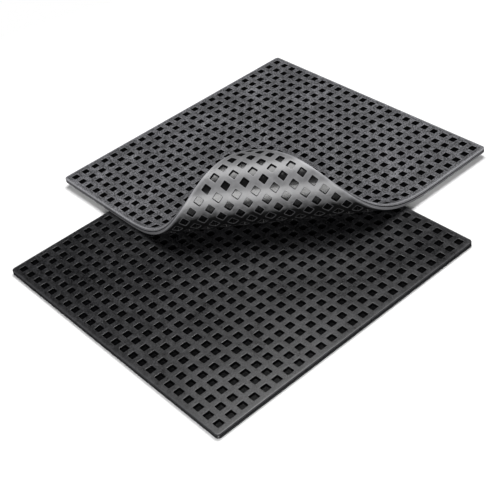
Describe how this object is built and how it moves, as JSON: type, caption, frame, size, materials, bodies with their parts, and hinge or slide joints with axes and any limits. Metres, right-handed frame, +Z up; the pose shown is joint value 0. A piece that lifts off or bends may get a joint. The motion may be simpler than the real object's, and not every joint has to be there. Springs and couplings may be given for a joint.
{
  "type": "rubber waffle mat pair",
  "caption": "Two square black rubber waffle mats with square pockets in both faces, one lying on the other with its front corner curled up.",
  "frame": {"origin": "middle of the lower mat's underside", "axes": "+Z up; the lower mat's sides run along X and Y; the upper mat's curled corner points towards +X and -Y"},
  "size_m": [0.566, 0.621, 0.1086],
  "materials": {
    "rubber": "satin moulded black rubber, dusty grey on the ribs"
  },
  "bodies": {
    "lower_mat": {"lower_mat": "rubber"},
    "upper_mat": {"upper_mat": "rubber"},
    "corner_strip_1": {"corner_strip_1": "rubber"},
    "corner_strip_2": {"corner_strip_2": "rubber"},
    "corner_strip_3": {"corner_strip_3": "rubber"},
    "corner_strip_4": {"corner_strip_4": "rubber"},
    "corner_strip_5": {"corner_strip_5": "rubber"},
    "corner_strip_6": {"corner_strip_6": "rubber"},
    "corner_strip_7": {"corner_strip_7": "rubber"},
    "corner_strip_8": {"corner_strip_8": "rubber"},
    "corner_strip_9": {"corner_strip_9": "rubber"},
    "corner_strip_10": {"corner_strip_10": "rubber"}
  },
  "joints": [
    {"name": "lift_off", "type": "slide", "parent": "lower_mat", "child": "upper_mat", "axis": [0, 0, 1], "range_m": [0, 0.12]},
    {"name": "uncurl_1", "type": "hinge", "parent": "upper_mat", "child": "corner_strip_1", "pos_m": [-0.02343, 0.08981, 0.0123], "axis": [0.6593, 0.7518, 0], "range_deg": [0, 20.8]},
    {"name": "uncurl_2", "type": "hinge", "parent": "corner_strip_1", "child": "corner_strip_2", "pos_m": [-0.00582, 0.07438, 0.02129], "axis": [0.6593, 0.7518, 0], "range_deg": [0, 20.8]},
    {"name": "uncurl_3", "type": "hinge", "parent": "corner_strip_2", "child": "corner_strip_3", "pos_m": [0.00471, 0.06514, 0.0339], "axis": [0.6593, 0.7518, 0], "range_deg": [0, 20.8]},
    {"name": "uncurl_4", "type": "hinge", "parent": "corner_strip_3", "child": "corner_strip_4", "pos_m": [0.01038, 0.06016, 0.04871], "axis": [0.6593, 0.7518, 0], "range_deg": [0, 20.8]},
    {"name": "uncurl_5", "type": "hinge", "parent": "corner_strip_4", "child": "corner_strip_5", "pos_m": [0.01161, 0.05909, 0.06426], "axis": [0.6593, 0.7518, 0], "range_deg": [0, 20.8]},
    {"name": "uncurl_6", "type": "hinge", "parent": "corner_strip_5", "child": "corner_strip_6", "pos_m": [0.00862, 0.06171, 0.0791], "axis": [0.6593, 0.7518, 0], "range_deg": [0, 20.8]},
    {"name": "uncurl_7", "type": "hinge", "parent": "corner_strip_6", "child": "corner_strip_7", "pos_m": [0.00171, 0.06777, 0.09175], "axis": [0.6593, 0.7518, 0], "range_deg": [0, 20.8]},
    {"name": "uncurl_8", "type": "hinge", "parent": "corner_strip_7", "child": "corner_strip_8", "pos_m": [-0.00877, 0.07696, 0.1008], "axis": [0.6593, 0.7518, 0], "range_deg": [0, 20.8]},
    {"name": "uncurl_9", "type": "hinge", "parent": "corner_strip_8", "child": "corner_strip_9", "pos_m": [-0.02263, 0.08912, 0.10472], "axis": [0.6593, 0.7518, 0], "range_deg": [0, 20.8]},
    {"name": "uncurl_10", "type": "hinge", "parent": "corner_strip_9", "child": "corner_strip_10", "pos_m": [-0.04125, 0.10545, 0.1008], "axis": [0.6593, 0.7518, 0], "range_deg": [0, 20.8]}
  ],
  "couplings": [
    {"joint": "uncurl_2", "follows": "uncurl_1", "ratio": 1},
    {"joint": "uncurl_3", "follows": "uncurl_1", "ratio": 1},
    {"joint": "uncurl_4", "follows": "uncurl_1", "ratio": 1},
    {"joint": "uncurl_5", "follows": "uncurl_1", "ratio": 1},
    {"joint": "uncurl_6", "follows": "uncurl_1", "ratio": 1},
    {"joint": "uncurl_7", "follows": "uncurl_1", "ratio": 1},
    {"joint": "uncurl_8", "follows": "uncurl_1", "ratio": 1},
    {"joint": "uncurl_9", "follows": "uncurl_1", "ratio": 1},
    {"joint": "uncurl_10", "follows": "uncurl_1", "ratio": 1}
  ]
}
